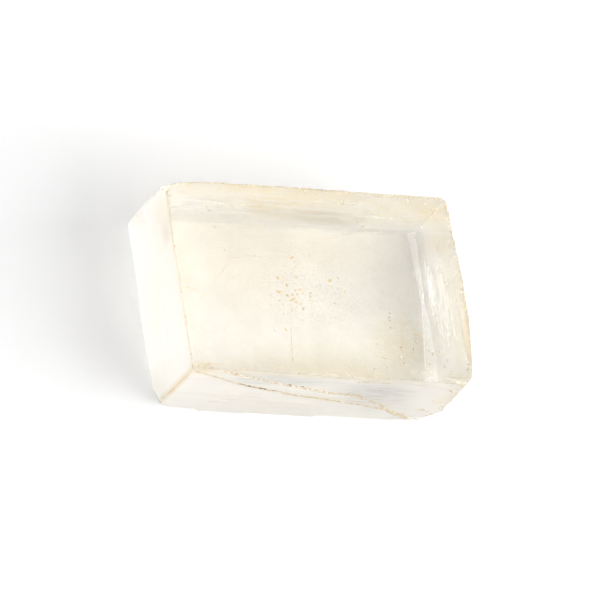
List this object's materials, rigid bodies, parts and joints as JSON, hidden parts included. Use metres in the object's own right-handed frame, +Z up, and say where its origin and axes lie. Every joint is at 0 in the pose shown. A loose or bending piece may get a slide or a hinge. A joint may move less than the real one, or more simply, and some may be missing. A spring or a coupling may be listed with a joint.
{
  "type": "optical calcite rhomb",
  "caption": "Clear rough cleavage block of calcite: a leaning six-sided brick with stepped faces, chipped edges and a flat base to rest on.",
  "frame": {"origin": "middle of the bounding box's underside, which lies in the flat bottom face", "axes": "+X along the long edges, +Z up out of the bottom face, so the short edges lean towards -X and run back towards +Y"},
  "size_m": [0.0496, 0.0318, 0.0172],
  "materials": {
    "calcite": "clear honey-tinted crystal, glossy cleavage faces with fine steps and iron stain on the edges"
  },
  "bodies": {
    "root": {"calcite_block": "calcite"}
  },
  "joints": []
}
